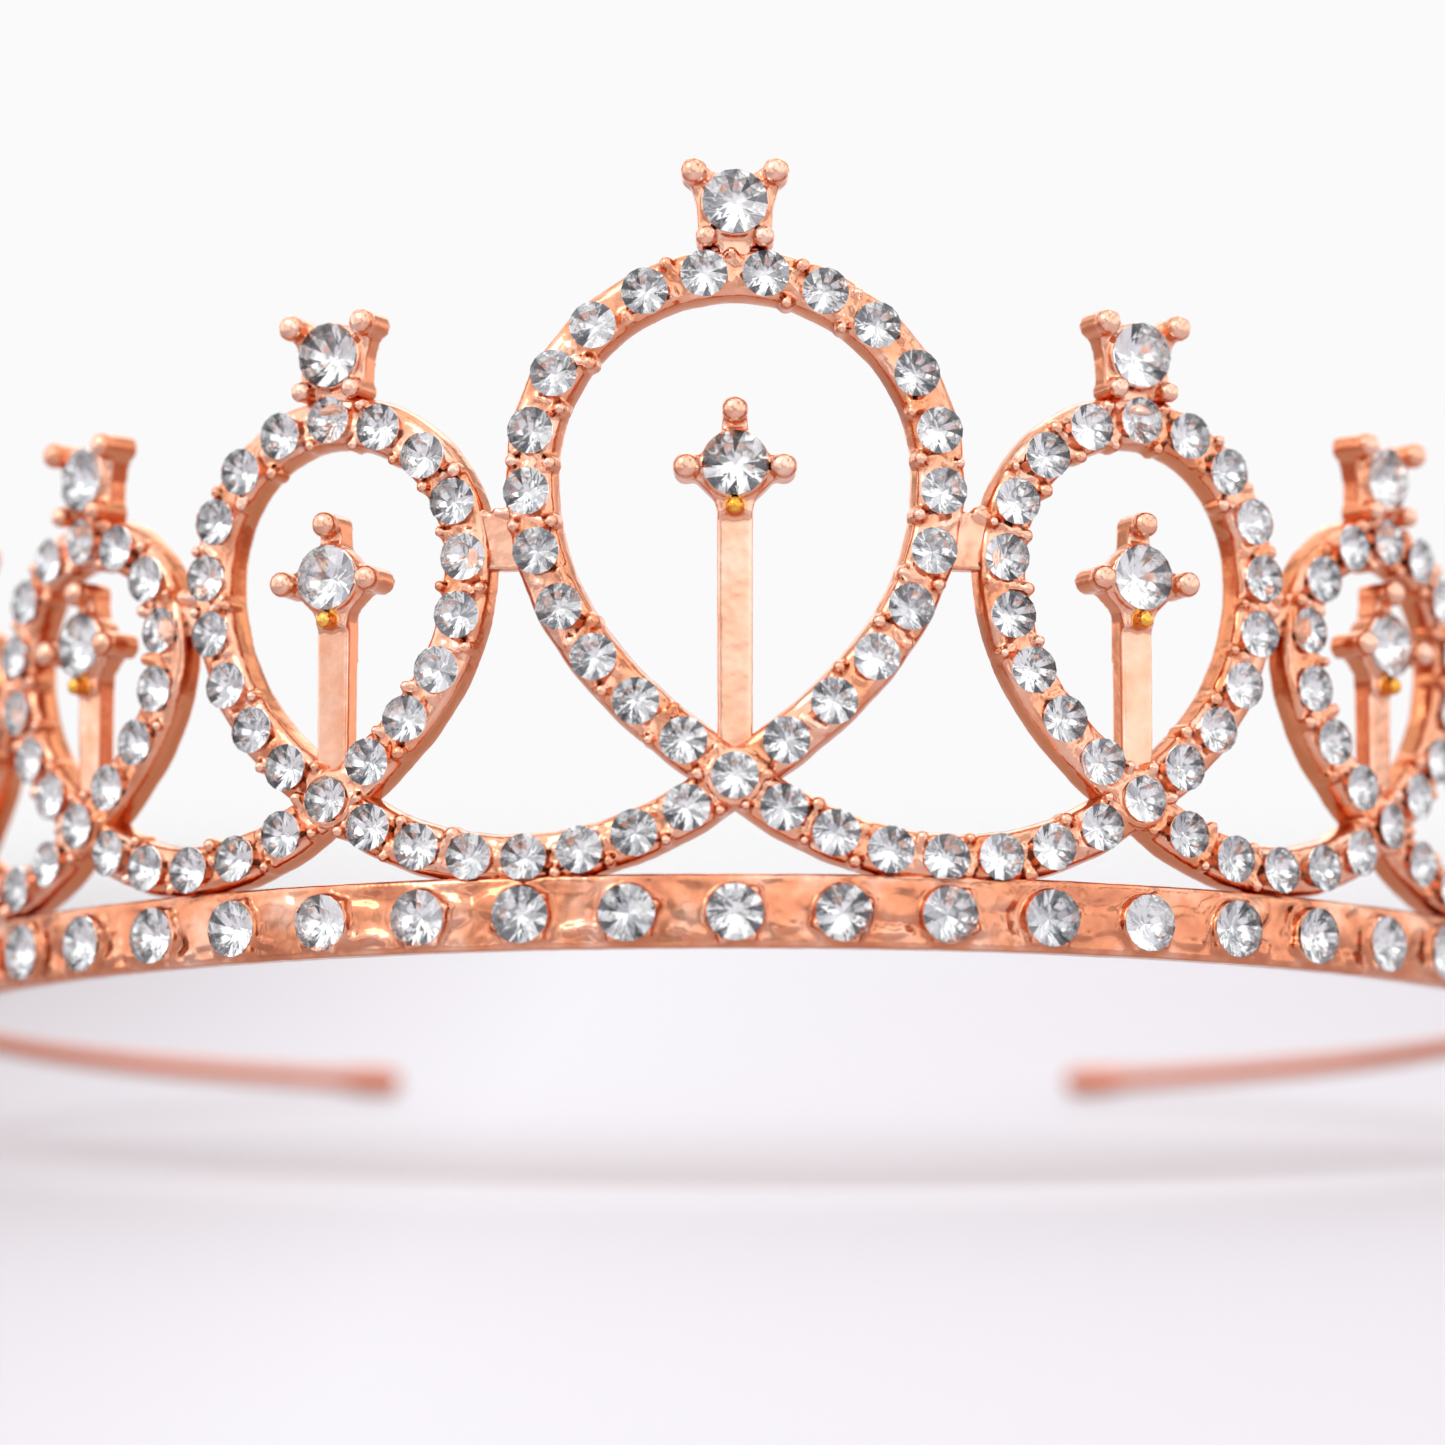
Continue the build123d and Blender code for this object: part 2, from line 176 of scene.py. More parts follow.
class Soup:
    """Closed overlapping shells in mm that a remesh joins into one body."""

    def __init__(self):
        self.v, self.f = [], []

    def add(self, verts, faces):
        base = len(self.v)
        self.v.extend(tuple(map(float, p)) for p in verts)
        self.f.extend(tuple(base + i for i in face) for face in faces)

    def rings(self, rings):
        """Tube through rings of points, capped at its ends."""
        n, m = len(rings), len(rings[0])
        faces = []
        for i in range(n - 1):
            a, b = i * m, (i + 1) * m
            faces += [(a + j, a + (j + 1) % m, b + (j + 1) % m, b + j) for j in range(m)]
        faces.append(tuple(range(m))[::-1])
        faces.append(tuple((n - 1) * m + j for j in range(m)))
        self.add([p for ring in rings for p in ring], faces)

    def lathe(self, spot, profile, x=0.0, y=0.0, segments=24):
        """Turned shape: profile of (radius, height) along the spot's outward axis."""
        rings = []
        for radius, height in profile:
            ring = []
            for k in range(segments):
                a = 2 * math.pi * k / segments
                ring.append(spot.at(x + radius * math.cos(a), y + radius * math.sin(a), height))
            rings.append(ring)
        self.rings(rings)

    def ball(self, centre, radius, squash=(1.0, 1.0, 1.0), axes=None, segments=14):
        """Ball or ellipsoid about a point."""
        axes = np.eye(3) if axes is None else np.array(axes)
        rings = []
        for i in range(1, segments // 2):
            b = math.pi * i / (segments // 2)
            ring = []
            for k in range(segments):
                a = 2 * math.pi * k / segments
                local = np.array((math.sin(b) * math.cos(a), math.sin(b) * math.sin(a), math.cos(b)))
                ring.append(np.array(centre) + (local * radius * np.array(squash)) @ axes)
            rings.append(ring)
        self.rings(rings)

    def bar(self, spot, x0, y0, x1, y1, width, low, high, end_width=None):
        """Straight bar in a spot's plane between two places, from low to high along n."""
        end_width = width if end_width is None else end_width
        d = np.array((x1 - x0, y1 - y0))
        d /= np.linalg.norm(d)
        side = np.array((-d[1], d[0]))
        rings = []
        for (x, y), w in (((x0, y0), width), ((x1, y1), end_width)):
            p, q = side * w / 2, -side * w / 2
            rings.append([spot.at(x + p[0], y + p[1], low), spot.at(x + q[0], y + q[1], low),
                          spot.at(x + q[0], y + q[1], high), spot.at(x + p[0], y + p[1], high)])
        self.rings(rings)

    def object(self, name):
        mesh = bpy.data.meshes.new(name)
        mesh.from_pydata(self.v, [], self.f)
        mesh.validate()
        obj = bpy.data.objects.new(name, mesh)
        bpy.context.scene.collection.objects.link(obj)
        return obj


def outward(obj):
    """Every shell's faces turned outwards."""
    bm = bmesh.new()
    bm.from_mesh(obj.data)
    bmesh.ops.recalc_face_normals(bm, faces=bm.faces)
    bm.to_mesh(obj.data)
    bm.free()


def baked(obj):
    """The object's modifiers become its mesh."""
    dg = bpy.context.evaluated_depsgraph_get()
    mesh = bpy.data.meshes.new_from_object(obj.evaluated_get(dg), depsgraph=dg)
    obj.modifiers.clear()
    old = obj.data
    obj.data = mesh
    bpy.data.meshes.remove(old)


CLOUD = {}


def cloud(size):
    """Clouds texture with features of this size in mm, made once."""
    if size not in CLOUD:
        texture = bpy.data.textures.new(f"cloud_{size}", "CLOUDS")
        texture.noise_scale = size
        texture.noise_depth = 2
        CLOUD[size] = texture
    return CLOUD[size]


SMOOTH_PASSES = 4
LUMP_SIZE, GRAIN_SIZE = 1.6, 0.45
SHARP_ANGLE = math.radians(50)


def cast(name, soup, seats, node, material, lumps=0.09, grain=0.02, voxel=VOXEL, body="crest"):
    """One piece of metal: shells joined by a voxel remesh, softened, roughened, then cut for its stones."""
    obj = soup.object(name)
    outward(obj)
    remesh = obj.modifiers.new("join", "REMESH")
    remesh.mode = "VOXEL"
    remesh.voxel_size = voxel
    soften = obj.modifiers.new("soften", "SMOOTH")
    soften.factor = 0.5
    soften.iterations = SMOOTH_PASSES
    for size, strength in ((LUMP_SIZE, lumps), (GRAIN_SIZE, grain)):
        rough = obj.modifiers.new("rough", "DISPLACE")
        rough.texture = cloud(size)
        rough.texture_coords = "LOCAL"
        rough.strength = strength
        rough.mid_level = 0.5
    baked(obj)
    if seats is not None:
        cutter = seats.object(name + "_seats")
        outward(cutter)
        cut = obj.modifiers.new("seats", "BOOLEAN")
        cut.operation = "DIFFERENCE"
        cut.solver = "MANIFOLD"
        cut.object = cutter
        baked(obj)
        data = cutter.data
        bpy.data.objects.remove(cutter)
        bpy.data.meshes.remove(data)
    obj.data.transform(Matrix.Scale(MM, 4))
    obj.data.materials.clear()
    obj.data.materials.append(material)
    obj.data.polygons.foreach_set("use_smooth", [True] * len(obj.data.polygons))
    obj.data.set_sharp_from_angle(angle=SHARP_ANGLE)
    if body:
        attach(obj, body)
    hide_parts(node)
    return obj


# ---------------------------------------------------------------- strand, cups and claws

def curve_points(places):
    """Smooth open curve of (arc, z) through places, STEPS points to each gap."""
    pts = [np.array((s.arc, s.z)) for s in places]
    n = len(pts)
    out = []
    for i in range(n - 1):
        p1, p2 = pts[i], pts[i + 1]
        p0 = pts[i - 1] if i > 0 else 2 * p1 - p2
        p3 = pts[i + 2] if i + 2 < n else 2 * p2 - p1
        for k in range(STEPS):
            t = k / STEPS
            out.append(0.5 * (2 * p1 + (p2 - p0) * t + (2 * p0 - 5 * p1 + 4 * p2 - p3) * t * t
                              + (3 * p1 - p0 - 3 * p2 + p3) * t ** 3))
    out.append(pts[-1])
    return out


def rail_section(front, half_front):
    """Rounded section of the strand: (across, height over the crest's front), wider at the back."""
    pts = []
    for k in range(20):
        a = 2 * math.pi * k / 20
        x = abs(math.cos(a)) ** 0.5 * math.copysign(1, math.cos(a))
        y = abs(math.sin(a)) ** 0.5 * math.copysign(1, math.sin(a))
        half = half_front + FLARE * (1 - y) / 2
        middle = (front - STRAND_DEPTH) / 2
        pts.append((x * half, middle + y * (front + STRAND_DEPTH) / 2))
    return pts


def sweep(soup, line):
    """Strand swept along a curve of (arc, z): full at its stones, slimmer and lower between them."""
    rings = []
    n = len(line)
    for i, p in enumerate(line):
        ahead = line[i + 1] if i + 1 < n else p
        behind = line[i - 1] if i > 0 else p
        d = ahead - behind
        d = d / np.linalg.norm(d)
        spot = Spot(p[0], p[1], CREST_R)
        between = math.sin(math.pi * (i % STEPS) / STEPS) ** 2
        section = rail_section(FRONT_AT_STONE - DIP * between, HALF_AT_STONE - WAIST * between)
        rings.append([spot.at(-d[1] * a, d[0] * a, h) for a, h in section])
    soup.rings(rings)


CLAW_SKIPPED = 0.3


def add_claws(soup, line_places, closed):
    """Blobs and up to two uneven bead claws halfway between neighbouring stones."""
    n = len(line_places)
    for i in range(n if closed else n - 1):
        a, b = line_places[i], line_places[(i + 1) % n]
        mid = Spot((a.arc + b.arc) / 2, (a.z + b.z) / 2, CREST_R)
        d = np.array((b.arc - a.arc, b.z - a.z))
        d /= np.linalg.norm(d)
        for _ in range(3):
            reach, slip = random.uniform(-1.1, 1.1), random.uniform(-0.5, 0.5)
            soup.ball(mid.at(-d[1] * reach + d[0] * slip, d[0] * reach + d[1] * slip, -0.25),
                      random.uniform(0.35, 0.6), (1, 1, 0.8), (mid.t, mid.u, mid.n), 10)
        for side in (-1, 1):
            if random.random() < CLAW_SKIPPED:
                continue
            off = 1.4 + random.uniform(-0.15, 0.2)
            slip = random.uniform(-0.3, 0.3)
            x = -d[1] * off * side + d[0] * slip
            y = d[0] * off * side + d[1] * slip
            r = random.uniform(0.4, 0.62)
            top = random.uniform(0.15, 0.5)
            soup.lathe(mid, ((0.6 * r, -1.9), (r * 1.1, -1.6), (r, -0.3), (r, top - 0.5 * r),
                             (r * 0.78, top - 0.1), (r * 0.35, top + 0.1)), x, y, 12)


def add_seat(cutter, s):
    """Hollow that holds a stone, a little larger than the stone."""
    r = s.radius
    g = SEAT_GAP
    cutter.lathe(s, ((0.05, -2 * r * 0.4 - g), (r + g, -g), (r + g, 0.08 * r + g),
                     (r * 0.55 + g, 0.4 * r + 3 * g), (r * 0.5, 0.4 * r + 1.0)), segments=28)


# ---------------------------------------------------------------- faceted stones

def brilliant():
    """Verts and faces of a faceted stone with girdle radius 1; the last faces are the foiled back."""
    def ring(count, radius, height, start=0.0):
        return [(radius * math.cos(2 * math.pi * (k + start) / count),
                 radius * math.sin(2 * math.pi * (k + start) / count), height) for k in range(count)]
    half = math.cos(math.pi / 8)
    table = ring(8, 0.60, 0.33)
    mid_h = 0.33 - (0.80 * half - 0.60) / 0.40 * 0.25
    mids = ring(8, 0.80, mid_h, 0.5)
    top = ring(16, 1.0, 0.08)
    low = ring(16, 1.0, 0.0)
    deep = ring(8, 0.34, -0.8 + 0.8 * 0.34 * half, 0.5)
    verts = table + mids + top + low + deep + [(0, 0, -0.8)]
    T, B, G, L, D, C = 0, 8, 16, 32, 48, 56
    crown = [tuple(range(8))]
    back = []
    for k in range(8):
        n = (k + 1) % 8
        crown.append((T + k, B + k, T + n))
        crown.append((T + k, B + (k - 1) % 8, G + 2 * k, B + k))
        crown.append((B + k, G + 2 * k, G + 2 * k + 1))
        crown.append((B + k, G + 2 * k + 1, G + (2 * k + 2) % 16))
        back.append((C, D + k, L + 2 * k, D + (k - 1) % 8))
        back.append((D + k, L + 2 * k + 1, L + 2 * k))
        back.append((D + k, L + (2 * k + 2) % 16, L + 2 * k + 1))
    for j in range(16):
        m = (j + 1) % 16
        back.append((G + j, L + j, L + m, G + m))
    return verts, crown, back


# Painted reflections: how bright the foil is painted behind a stone's long back facets and its girdle
# facets, picked at random; the dark shades stand in for dark reflections
MAIN_SHADES = (1.0, 1.0, 1.0, 1.0, 0.95, 0.6)
GIRDLE_SHADES = (1.0, 0.5, 0.2, 0.1)
CULET = 56


def set_stones(name, stones, node):
    """All faceted stones of one node, each turned and tipped a little."""
    verts, crown, back = brilliant()
    soup = Soup()
    slots, painted_facet_shades = [], []
    for s in stones:
        turn = random.uniform(0, math.pi / 4)
        tip = [math.radians(random.gauss(0, STONE_TILT / 2)) for _ in range(2)]
        tipped = Matrix.Rotation(tip[0], 3, "X") @ Matrix.Rotation(tip[1], 3, "Y")
        place = tipped @ Matrix.Rotation(turn, 3, "Z")
        local = [place @ (Vector(v) * s.radius) for v in verts]
        soup.add([s.at(*p) for p in local], crown + back)
        slots += [0] * len(crown) + [1] * len(back)
        painted_facet_shades += [1.0] * len(crown)
        # Painted reflections: the foil behind some back facets is painted grey or nearly black.
        for k, face in enumerate(back):
            if face[0] == CULET:
                painted_facet_shades.append(random.choice(MAIN_SHADES))
            else:
                painted_facet_shades.append(random.choice(GIRDLE_SHADES) if k % 3 == 1 else 1.0)
    obj = soup.object(name)
    outward(obj)
    obj.data.transform(Matrix.Scale(MM, 4))
    for material in CRYSTAL:
        obj.data.materials.append(material)
    obj.data.polygons.foreach_set("material_index", slots)
    shade_of_facet = obj.data.attributes.new("spark", "FLOAT", "FACE")
    shade_of_facet.data.foreach_set("value", painted_facet_shades)
    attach(obj, "crest")
    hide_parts(node)


# ---------------------------------------------------------------- materials

def new_material(name):
    material = bpy.data.materials.new(name)
    material.use_nodes = True
    tree = material.node_tree
    return material, tree.nodes, tree.links, tree.nodes["Principled BSDF"]


def noise(nodes_, links_, coords, scale, detail=4.0, roughness=0.55):
    n = nodes_.new("ShaderNodeTexNoise")
    n.inputs["Scale"].default_value = scale
    n.inputs["Detail"].default_value = detail
    n.inputs["Roughness"].default_value = roughness
    links_.new(coords.outputs["Object"], n.inputs["Vector"])
    return n


def ramp(nodes_, links_, source, stops):
    r = nodes_.new("ShaderNodeValToRGB")
    elements = r.color_ramp.elements
    while len(elements) < len(stops):
        elements.new(0.5)
    for e, (pos, col) in zip(elements, stops):
        e.position = pos
        e.color = (*col, 1.0) if len(col) == 3 else col
    links_.new(source, r.inputs["Fac"])
    return r


def grey(v):
    return (v, v, v)


def mixed_colour(nodes_, links_, factor, a, b, blend="MIX"):
    """Mix of two colours; each of the three is a socket or a value."""
    m = nodes_.new("ShaderNodeMix")
    m.data_type = "RGBA"
    m.blend_type = blend
    for key, value in (("Factor", factor), ("A", a), ("B", b)):
        if isinstance(value, bpy.types.NodeSocket):
            links_.new(value, m.inputs[key])
        else:
            m.inputs[key].default_value = value
    return m.outputs["Result"]


def rose_gold(name, wall, deep, mid, pale, rough, bump):
    """Plated cast metal: uneven colour, painted shade that makes the hollows darker and redder, ripples and
    fine pits.

    The wall colour is painted shade on faces that don't look outwards from the head; rough is a range.
    """
    material, ns, ls, bsdf = new_material(name)
    coords = ns.new("ShaderNodeTexCoord")
    broad = noise(ns, ls, coords, 260.0)
    tint = ramp(ns, ls, broad.outputs["Fac"], ((0.32, deep), (0.5, mid), (0.68, pale)))
    # Painted shade: hollows and creases (low pointiness) take the deep colour, standing in for the shade
    # that falls there.
    geo = ns.new("ShaderNodeNewGeometry")
    edges = ramp(ns, ls, geo.outputs["Pointiness"],
                 ((0.44, grey(0.0)), (0.5, grey(0.5)), (0.56, grey(1.0))))
    painted_hollow_shade = mixed_colour(ns, ls, edges.outputs["Color"], (*deep, 1.0), tint.outputs["Color"])
    # Painted shade: faces that don't look outwards from the head, such as the sides and undersides, take
    # the wall colour, standing in for the shade on them.
    flat = ns.new("ShaderNodeVectorMath")
    flat.operation = "MULTIPLY"
    ls.new(coords.outputs["Object"], flat.inputs[0])
    flat.inputs[1].default_value = (1.0, 1.0, 0.0)
    radial = ns.new("ShaderNodeVectorMath")
    radial.operation = "NORMALIZE"
    ls.new(flat.outputs["Vector"], radial.inputs[0])
    facing = ns.new("ShaderNodeVectorMath")
    facing.operation = "DOT_PRODUCT"
    ls.new(radial.outputs["Vector"], facing.inputs[0])
    ls.new(geo.outputs["Normal"], facing.inputs[1])
    front_side = ramp(ns, ls, facing.outputs["Value"], ((0.15, grey(1.0)), (0.8, grey(0.0))))
    painted_wall_shade = mixed_colour(ns, ls, front_side.outputs["Color"], painted_hollow_shade, (*wall, 1.0))
    ls.new(painted_wall_shade, bsdf.inputs["Base Color"])
    bsdf.inputs["Metallic"].default_value = 1.0
    patches = noise(ns, ls, coords, 900.0)
    shine = ramp(ns, ls, patches.outputs["Fac"], ((0.3, grey(rough[0])), (0.7, grey(rough[1]))))
    ls.new(shine.outputs["Color"], bsdf.inputs["Roughness"])
    ripple = noise(ns, ls, coords, 1500.0, 3.0)
    pits = noise(ns, ls, coords, 5200.0, 2.0)
    add = ns.new("ShaderNodeMath")
    add.operation = "MULTIPLY_ADD"
    ls.new(pits.outputs["Fac"], add.inputs[0])
    add.inputs[1].default_value = 0.35
    ls.new(ripple.outputs["Fac"], add.inputs[2])
    b = ns.new("ShaderNodeBump")
    b.inputs["Strength"].default_value = bump
    b.inputs["Distance"].default_value = 0.0002
    ls.new(add.outputs["Value"], b.inputs["Height"])
    ls.new(b.outputs["Normal"], bsdf.inputs["Normal"])
    return material


def crystal_glass():
    """Clear stone, with faint smears on its facets."""
    material, ns, ls, bsdf = new_material("crystal_glass")
    coords = ns.new("ShaderNodeTexCoord")
    n = noise(ns, ls, coords, 400.0, 2.0)
    tint = ramp(ns, ls, n.outputs["Fac"], ((0.35, (0.97, 0.98, 1.0)), (0.65, (1.0, 1.0, 1.0))))
    ls.new(tint.outputs["Color"], bsdf.inputs["Base Color"])
    smears = noise(ns, ls, coords, 1800.0, 2.0)
    smear = ramp(ns, ls, smears.outputs["Fac"], ((0.45, grey(0.0)), (0.8, grey(0.03))))
    ls.new(smear.outputs["Color"], bsdf.inputs["Roughness"])
    bsdf.inputs["Transmission Weight"].default_value = 1.0
    bsdf.inputs["IOR"].default_value = 1.55
    return material


def crystal_foil():
    """Mirror foil behind a stone with painted reflections: each facet's foil is painted its own shade, some
    nearly black, standing in for the dark reflections the facets show.
    """
    material, ns, ls, bsdf = new_material("crystal_foil")
    spark = ns.new("ShaderNodeAttribute")
    spark.attribute_name = "spark"
    painted_reflection = ramp(ns, ls, spark.outputs["Fac"],
                 ((0.0, (0.05, 0.055, 0.065)), (0.4, (0.42, 0.43, 0.46)), (1.0, (1.0, 1.0, 1.0))))
    coords = ns.new("ShaderNodeTexCoord")
    n = noise(ns, ls, coords, 900.0, 2.0)
    dull = ramp(ns, ls, n.outputs["Fac"], ((0.3, grey(0.9)), (0.6, grey(1.0))))
    foil = mixed_colour(ns, ls, 1.0, painted_reflection.outputs["Color"], dull.outputs["Color"], "MULTIPLY")
    ls.new(foil, bsdf.inputs["Base Color"])
    bsdf.inputs["Metallic"].default_value = 0.9
    bsdf.inputs["Roughness"].default_value = 0.12
    return material


# Each metal's first colour is painted shade for faces that don't look outwards, and its deep colour also
# paints shade into the hollows.
CAST = rose_gold("rose_gold_cast", (0.66, 0.24, 0.11), (0.74, 0.26, 0.12), (0.91, 0.50, 0.35),
                 (0.98, 0.69, 0.57), (0.08, 0.24), 0.12)
PLATE = rose_gold("rose_gold_plate", (0.70, 0.26, 0.13), (0.80, 0.35, 0.20), (0.90, 0.55, 0.42),
                  (0.96, 0.70, 0.59), (0.12, 0.24), 0.05)
STRIP = rose_gold("rose_gold_strip", (0.60, 0.20, 0.09), (0.52, 0.18, 0.10), (0.84, 0.35, 0.19),
                  (0.99, 0.64, 0.49), (0.08, 0.22), 0.04)
# The arms' metal is painted darker all over than the rest, painted shade standing in for the shadow on the
# arms.
WIRE = rose_gold("rose_gold_wire", (0.58, 0.17, 0.08), (0.62, 0.18, 0.09), (0.70, 0.24, 0.13),
                 (0.78, 0.32, 0.20), (0.2, 0.34), 0.05)
AMBER = rose_gold("solder_amber", (0.72, 0.26, 0.04), (0.80, 0.34, 0.04), (0.90, 0.45, 0.07),
                  (0.97, 0.58, 0.16), (0.10, 0.20), 0.05)
CRYSTAL = (crystal_glass(), crystal_foil())


# ---------------------------------------------------------------- crest

# Cup where two strands cross: (radius, height)
CROSSING = ((1.7, -2.55), (2.0, -2.3), (2.2, -0.4), (2.15, -0.05), (1.9, 0.1), (0.5, 0.1))
tags = ["centre"] + [f"{side}_{i}" for i in (1, 2, 3) for side in ("left", "right")]
loops = {}
for tag in tags:
    order = chain(stones_of(f"loop_{tag}_stones"))
    loops[tag] = order
    soup, seats = Soup(), Soup()
    sweep(soup, curve_points(order[1:]))
    for pair in ((order[0], order[1], order[2]), (order[0], order[-1], order[-2])):
        sweep(soup, curve_points(pair)[:STEPS + 1])
    soup.lathe(Spot(order[0].arc, order[0].z, CREST_R), CROSSING)
    for s in order:
        add_seat(seats, s)
    add_claws(soup, order, True)
    cast(f"vis_loop_{tag}", soup, seats, f"loop_{tag}", CAST)
    set_stones(f"vis_loop_{tag}_stones", order, f"loop_{tag}_stones")


def crossing(side, index):
    """The stone where a loop's strands cross; loop 0 is the centre one."""
    return loops["centre" if index == 0 else f"{side}_{index}"][0]


for side in ("left", "right"):
    sign = 1 if side == "right" else -1
    hung = stones_of(f"swag_{side}_stones")
    for index in range(4):
        start = crossing(side, index)
        limit = crossing(side, index + 1).arc * sign if index < 3 else math.inf
        own = sorted((s for s in hung if start.arc * sign < s.arc * sign < limit),
                     key=lambda s: s.arc * sign)
        run = [start] + own + ([crossing(side, index + 1)] if index < 3 else [])
        soup, seats = Soup(), Soup()
        sweep(soup, curve_points(run))
        for s in own:
            add_seat(seats, s)
        add_claws(soup, run, False)
        if index == 3:
            soup.lathe(Spot(own[-1].arc, own[-1].z, CREST_R), CROSSING)
        for s in run:
            if s not in own:
                add_seat(seats, s)
        name = f"swag_{side}_{index + 1}" if index < 3 else f"end_scroll_{side}"
        cast(f"vis_{name}", soup, seats, name, CAST)
    set_stones(f"vis_swag_{side}_stones", hung, f"swag_{side}_stones")


def nearest(stones, arc):
    """The stone of a set that is nearest to a place along the crest."""
    return min(stones, key=lambda s: abs(s.arc - arc))


# Cup of a big stone: (radius, height)
HEAD_CUP = ((1.7, -2.1), (2.3, -2.0), (2.5, -0.8), (2.5, 0.05), (2.42, 0.25), (0.5, 0.25))


def head(soup, s, rods, webs):
    """Big stone's cup with stout arms to ball-tipped rods, and webs that fill between them."""
    o = Spot(s.arc, s.z, CREST_R)
    soup.lathe(o, HEAD_CUP, segments=28)
    for x, y, r in rods:
        soup.bar(o, 0, 0, x, y, 2.3, -2.0, -0.15, 1.75 * r)
        soup.lathe(o, ((0.6 * r, -2.15), (0.95 * r, -2.0), (0.9 * r, 0.5)), x, y, 16)
        soup.ball(o.at(x, y, 0.62), r, (1, 1, 0.9), (o.t, o.u, o.n), 16)
    for x0, y0, x1, y1, w0, w1 in webs:
        soup.bar(o, x0, y0, x1, y1, w0, -1.95, -0.3, w1)


def dip_in_amber(obj, centre, reach):
    """The faces near a point (mm) take the amber solder as their material."""
    mesh = obj.data
    mesh.materials.append(AMBER)
    middles = np.empty(len(mesh.polygons) * 3)
    mesh.polygons.foreach_get("center", middles)
    near = np.linalg.norm(middles.reshape(-1, 3) / MM - centre, axis=1) < reach
    mesh.polygons.foreach_set("material_index", near.astype(np.int32))


AMBER_REACH = 0.95
AMBER_HEIGHT = 0.4
# Rods: (x, y, ball radius). Webs: (x0, y0, x1, y1, width at the start, width at the end)
INNER_WEBS = ((-2.6, -0.6, -1.0, -2.2, 1.1, 1.1), (2.6, -0.6, 1.0, -2.2, 1.1, 1.1),
              (-1.0, -1.9, -0.75, -3.6, 1.2, 0.9), (1.0, -1.9, 0.75, -3.6, 1.2, 0.9))
FINIAL_WEBS = ((-2.7, 2.0, -2.2, -0.2, 1.3, 1.1), (2.7, 2.0, 2.2, -0.2, 1.3, 1.1),
               (-2.2, -0.2, -2.05, -2.4, 1.1, 1.2), (2.2, -0.2, 2.05, -2.4, 1.1, 1.2),
               (-2.0, -2.5, 2.0, -2.5, 1.3, 1.3), (0, -2.0, 0, -3.9, 3.2, 2.0))
INNER_RODS = ((0.0, 3.85, 1.0), (-3.5, -0.3, 1.0), (3.5, -0.3, 1.0), (0.0, -3.15, 0.66))
FINIAL_RODS = ((-2.95, 2.2, 1.0), (2.95, 2.2, 1.0), (-2.1, -2.6, 0.8), (2.1, -2.6, 0.8))
inner = stones_of("inner_stones")
finials = stones_of("finial_stones")
for tag in tags:
    base = loops[tag][0]
    s = nearest(inner, base.arc)
    soup, seats = Soup(), Soup()
    head(soup, s, INNER_RODS, INNER_WEBS)
    o = Spot(s.arc, s.z, CREST_R)
    foot = base.z - s.z + 1.2
    soup.bar(o, 0, -1.5, 0, foot, 2.6, -2.2, -0.65, 2.5)
    add_seat(seats, s)
    post = cast(f"vis_post_{tag}", soup, seats, f"post_{tag}", PLATE, lumps=0.06)
    dip_in_amber(post, o.at(*INNER_RODS[-1][:2], AMBER_HEIGHT), AMBER_REACH)

    s = nearest(finials, base.arc)
    soup, seats = Soup(), Soup()
    head(soup, s, FINIAL_RODS, FINIAL_WEBS)
    o = Spot(s.arc, s.z, CREST_R)
    top = max(p.z for p in loops[tag]) - s.z
    soup.bar(o, 0, -2.5, 0, top + 0.4, 2.6, -2.0, -0.25, 1.7)
    add_seat(seats, s)
    cast(f"vis_finial_{tag}", soup, seats, f"finial_{tag}", PLATE, lumps=0.06)
set_stones("vis_inner_stones", inner, "inner_stones")
set_stones("vis_finial_stones", finials, "finial_stones")

for side in ("left", "right"):
    for index in (1, 2, 3):
        name = f"bridge_{side}_{index}"
        low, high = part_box(name)
        mid = [(a + b) / 2 / MM for a, b in zip(low, high)]
        arc = math.atan2(mid[0], -mid[1]) * CREST_R
        o = Spot(arc, mid[2], CREST_R)
        half = (high[2] - low[2]) / 2 / MM
        soup = Soup()
        soup.bar(o, -2.2, -0.1, 2.2, -0.3, 2 * half - 0.3, -1.9, -0.5, 2 * half - 0.5)
        for _ in range(9):
            x, y = random.uniform(-1.8, 1.8), half - random.uniform(0.3, 0.8)
            soup.ball(o.at(x, y, -0.7), random.uniform(0.4, 0.7), (1.2, 1, 0.9), (o.t, o.u, o.n))
        cast(f"vis_{name}", soup, None, name, PLATE, lumps=0.12)


# ---------------------------------------------------------------- band

band_stones = stones_of("band_stones")
soup, seats = Soup(), Soup()
rings = []
for i in range(BAND_STEPS + 1):
    arc = math.radians(-BAND_END + 2 * BAND_END * i / BAND_STEPS) * CREST_R
    o = Spot(arc, 0.0, CREST_R)
    wave = 0.09 * math.sin(arc * 0.9) + 0.05 * math.sin(arc * 2.3 + 1)
    profile = ((-1.45, 0.15), (-1.3, 0.0), (0.25, 0.0), (0.42, 0.2), (0.42, 1.0), (0.3 + wave, 1.5),
               (0.2 + wave, 2.8), (0.22 - wave, 4.0), (0.3, BAND_H - 0.3), (0.12, BAND_H),
               (-1.35, BAND_H), (-1.5, BAND_H - 0.2))
    rings.append([o.at(0, y, h) for h, y in profile])
soup.rings(rings)
for s in band_stones:
    o = Spot(s.arc, s.z, BAND_OUT)
    top = s.r - BAND_OUT - 0.12
    soup.lathe(o, ((1.6, -1.0), (2.3, -0.6), (2.12, 0.2), (2.0, top), (0.5, top)), segments=28)
    add_seat(seats, s)
    for k in range(3):
        a = math.pi * (k - 1.5) / 2 + random.uniform(-0.5, 0.5)
        soup.ball(o.at(2.1 * math.cos(a), 2.1 * math.sin(a), top * 0.6), random.uniform(0.3, 0.45),
                  (1, 1, 1.5), (o.t, o.u, o.n), 10)
